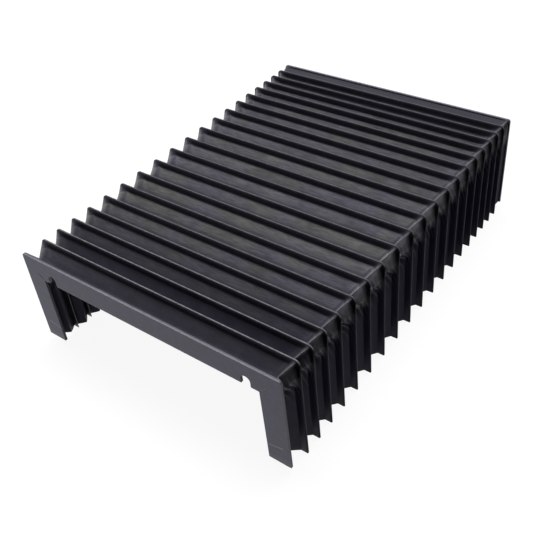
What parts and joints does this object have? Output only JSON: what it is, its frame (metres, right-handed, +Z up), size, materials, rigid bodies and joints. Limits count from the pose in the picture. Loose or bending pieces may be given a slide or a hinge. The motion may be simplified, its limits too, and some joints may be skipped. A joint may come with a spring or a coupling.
{
  "type": "bellows way cover",
  "caption": "Pleated black cloth bellows on U-shaped stiffening frames between two notched end plates; it slides open and shut over a machine guideway.",
  "frame": {"origin": "middle of the cover on the surface that its skirts stand on", "axes": "+X across the cover, +Y from the front plate to the rear plate, +Z up"},
  "size_m": [0.305, 0.4394, 0.1165],
  "materials": {
    "coated_cloth": "black coated cloth with a soft sheen",
    "facing_cloth": "dark slate coated cloth, bonded flat",
    "plate_steel": "light grey satin paint",
    "frame_sheet": "black plastic sheet"
  },
  "bodies": {
    "rear_end": {"rear_end_plate": "plate_steel", "rear_plate_facing": "facing_cloth", "bellows_skin": "coated_cloth"},
    "front_end": {"front_end_plate": "plate_steel", "front_plate_facing": "facing_cloth"},
    "frame_01": {"stiffening_frame_01": "frame_sheet"},
    "frame_02": {"stiffening_frame_02": "frame_sheet"},
    "frame_03": {"stiffening_frame_03": "frame_sheet"},
    "frame_04": {"stiffening_frame_04": "frame_sheet"},
    "frame_05": {"stiffening_frame_05": "frame_sheet"},
    "frame_06": {"stiffening_frame_06": "frame_sheet"},
    "frame_07": {"stiffening_frame_07": "frame_sheet"},
    "frame_08": {"stiffening_frame_08": "frame_sheet"},
    "frame_09": {"stiffening_frame_09": "frame_sheet"},
    "frame_10": {"stiffening_frame_10": "frame_sheet"},
    "frame_11": {"stiffening_frame_11": "frame_sheet"},
    "frame_12": {"stiffening_frame_12": "frame_sheet"},
    "frame_13": {"stiffening_frame_13": "frame_sheet"},
    "frame_14": {"stiffening_frame_14": "frame_sheet"},
    "frame_15": {"stiffening_frame_15": "frame_sheet"},
    "frame_16": {"stiffening_frame_16": "frame_sheet"},
    "frame_17": {"stiffening_frame_17": "frame_sheet"},
    "frame_18": {"stiffening_frame_18": "frame_sheet"},
    "frame_19": {"stiffening_frame_19": "frame_sheet"}
  },
  "joints": [
    {"name": "extension", "type": "slide", "parent": "rear_end", "child": "front_end", "axis": [0, -1, 0], "range_m": [-0.3404, 0.0856], "deforming": ["bellows_skin"]},
    {"name": "frame_01_slide", "type": "slide", "parent": "front_end", "child": "frame_01", "axis": [0, -1, 0], "range_m": [-0.00378, 0.015]},
    {"name": "frame_02_slide", "type": "slide", "parent": "rear_end", "child": "frame_02", "axis": [0, -1, 0], "range_m": [-0.31119, 0.07826]},
    {"name": "frame_03_slide", "type": "slide", "parent": "rear_end", "child": "frame_03", "axis": [0, -1, 0], "range_m": [-0.2958, 0.07439]},
    {"name": "frame_04_slide", "type": "slide", "parent": "rear_end", "child": "frame_04", "axis": [0, -1, 0], "range_m": [-0.27888, 0.07013]},
    {"name": "frame_05_slide", "type": "slide", "parent": "rear_end", "child": "frame_05", "axis": [0, -1, 0], "range_m": [-0.2603, 0.06546]},
    {"name": "frame_06_slide", "type": "slide", "parent": "rear_end", "child": "frame_06", "axis": [0, -1, 0], "range_m": [-0.24019, 0.06041]},
    {"name": "frame_07_slide", "type": "slide", "parent": "rear_end", "child": "frame_07", "axis": [0, -1, 0], "range_m": [-0.21891, 0.05505]},
    {"name": "frame_08_slide", "type": "slide", "parent": "rear_end", "child": "frame_08", "axis": [0, -1, 0], "range_m": [-0.19699, 0.04954]},
    {"name": "frame_09_slide", "type": "slide", "parent": "rear_end", "child": "frame_09", "axis": [0, -1, 0], "range_m": [-0.17504, 0.04402]},
    {"name": "frame_10_slide", "type": "slide", "parent": "rear_end", "child": "frame_10", "axis": [0, -1, 0], "range_m": [-0.15346, 0.03859]},
    {"name": "frame_11_slide", "type": "slide", "parent": "rear_end", "child": "frame_11", "axis": [0, -1, 0], "range_m": [-0.1326, 0.03335]},
    {"name": "frame_12_slide", "type": "slide", "parent": "rear_end", "child": "frame_12", "axis": [0, -1, 0], "range_m": [-0.11275, 0.02836]},
    {"name": "frame_13_slide", "type": "slide", "parent": "rear_end", "child": "frame_13", "axis": [0, -1, 0], "range_m": [-0.09415, 0.02368]},
    {"name": "frame_14_slide", "type": "slide", "parent": "rear_end", "child": "frame_14", "axis": [0, -1, 0], "range_m": [-0.07693, 0.01935]},
    {"name": "frame_15_slide", "type": "slide", "parent": "rear_end", "child": "frame_15", "axis": [0, -1, 0], "range_m": [-0.06115, 0.01538]},
    {"name": "frame_16_slide", "type": "slide", "parent": "rear_end", "child": "frame_16", "axis": [0, -1, 0], "range_m": [-0.04676, 0.01176]},
    {"name": "frame_17_slide", "type": "slide", "parent": "rear_end", "child": "frame_17", "axis": [0, -1, 0], "range_m": [-0.03361, 0.00845]},
    {"name": "frame_18_slide", "type": "slide", "parent": "rear_end", "child": "frame_18", "axis": [0, -1, 0], "range_m": [-0.02147, 0.0054]},
    {"name": "frame_19_slide", "type": "slide", "parent": "rear_end", "child": "frame_19", "axis": [0, -1, 0], "range_m": [-0.01005, 0.00253]}
  ],
  "couplings": [
    {"joint": "frame_01_slide", "follows": "extension", "ratio": -0.044063},
    {"joint": "frame_02_slide", "follows": "extension", "ratio": 0.91417},
    {"joint": "frame_03_slide", "follows": "extension", "ratio": 0.86897},
    {"joint": "frame_04_slide", "follows": "extension", "ratio": 0.81926},
    {"joint": "frame_05_slide", "follows": "extension", "ratio": 0.76469},
    {"joint": "frame_06_slide", "follows": "extension", "ratio": 0.70561},
    {"joint": "frame_07_slide", "follows": "extension", "ratio": 0.64309},
    {"joint": "frame_08_slide", "follows": "extension", "ratio": 0.5787},
    {"joint": "frame_09_slide", "follows": "extension", "ratio": 0.51421},
    {"joint": "frame_10_slide", "follows": "extension", "ratio": 0.45082},
    {"joint": "frame_11_slide", "follows": "extension", "ratio": 0.38953},
    {"joint": "frame_12_slide", "follows": "extension", "ratio": 0.33122},
    {"joint": "frame_13_slide", "follows": "extension", "ratio": 0.27657},
    {"joint": "frame_14_slide", "follows": "extension", "ratio": 0.22599},
    {"joint": "frame_15_slide", "follows": "extension", "ratio": 0.17963},
    {"joint": "frame_16_slide", "follows": "extension", "ratio": 0.13734},
    {"joint": "frame_17_slide", "follows": "extension", "ratio": 0.098709},
    {"joint": "frame_18_slide", "follows": "extension", "ratio": 0.063057},
    {"joint": "frame_19_slide", "follows": "extension", "ratio": 0.029514}
  ]
}
